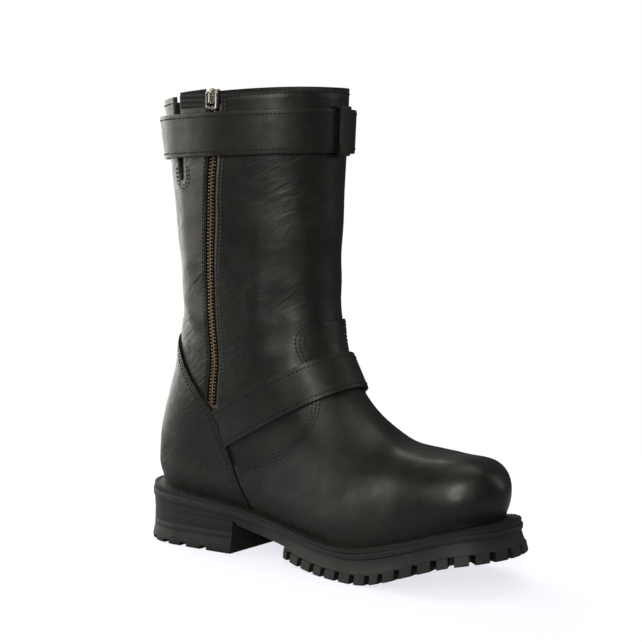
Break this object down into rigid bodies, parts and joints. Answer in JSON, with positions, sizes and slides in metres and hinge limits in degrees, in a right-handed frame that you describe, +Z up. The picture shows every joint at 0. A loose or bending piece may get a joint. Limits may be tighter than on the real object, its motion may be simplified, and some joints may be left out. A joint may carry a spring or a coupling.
{
  "type": "engineer boot",
  "caption": "Tall pull-on engineer boot for the left foot, with a lugged sole, a buckled strap at ankle and collar, an inner side zip and a notched collar.",
  "frame": {"origin": "on the floor plane under the middle of the boot's bounding box", "axes": "+X towards the toe, +Y towards the outer (lateral) side of the left foot, +Z up along the shaft"},
  "size_m": [0.3193, 0.13, 0.3361],
  "materials": {
    "upper_leather": "waxed black full-grain leather",
    "strap_leather": "waxed black strap leather with brown raw edges",
    "nickel": "satin nickel plate",
    "brass_teeth": "antique brass",
    "tape_fabric": "black woven tape",
    "welt": "matt black rand",
    "sole_rubber": "matt charcoal moulded rubber",
    "insole_board": "plain leatherboard"
  },
  "bodies": {
    "boot": {"upper": "upper_leather", "vamp": "upper_leather", "counter": "upper_leather", "gusset": "upper_leather", "top_strap": "strap_leather", "top_strap_end": "strap_leather", "top_strap_keeper": "strap_leather", "ankle_strap": "strap_leather", "ankle_strap_end": "strap_leather", "ankle_strap_keeper": "strap_leather", "top_buckle_frame": "nickel", "top_buckle_prong": "nickel", "ankle_buckle_frame": "nickel", "ankle_buckle_prong": "nickel", "zip_slider": "nickel", "zip_teeth": "brass_teeth", "zip_tape": "tape_fabric", "zip_tab": "tape_fabric", "welt": "welt", "outsole": "sole_rubber", "heel": "sole_rubber", "insole": "insole_board"},
    "pull": {"zip_pull": "nickel"}
  },
  "joints": [
    {"name": "pull_swing", "type": "hinge", "parent": "boot", "child": "pull", "pos_m": [-0.06159, -0.0621, 0.33204], "axis": [-0.9953, -0.0787, 0.056], "range_deg": [0, 150]}
  ]
}
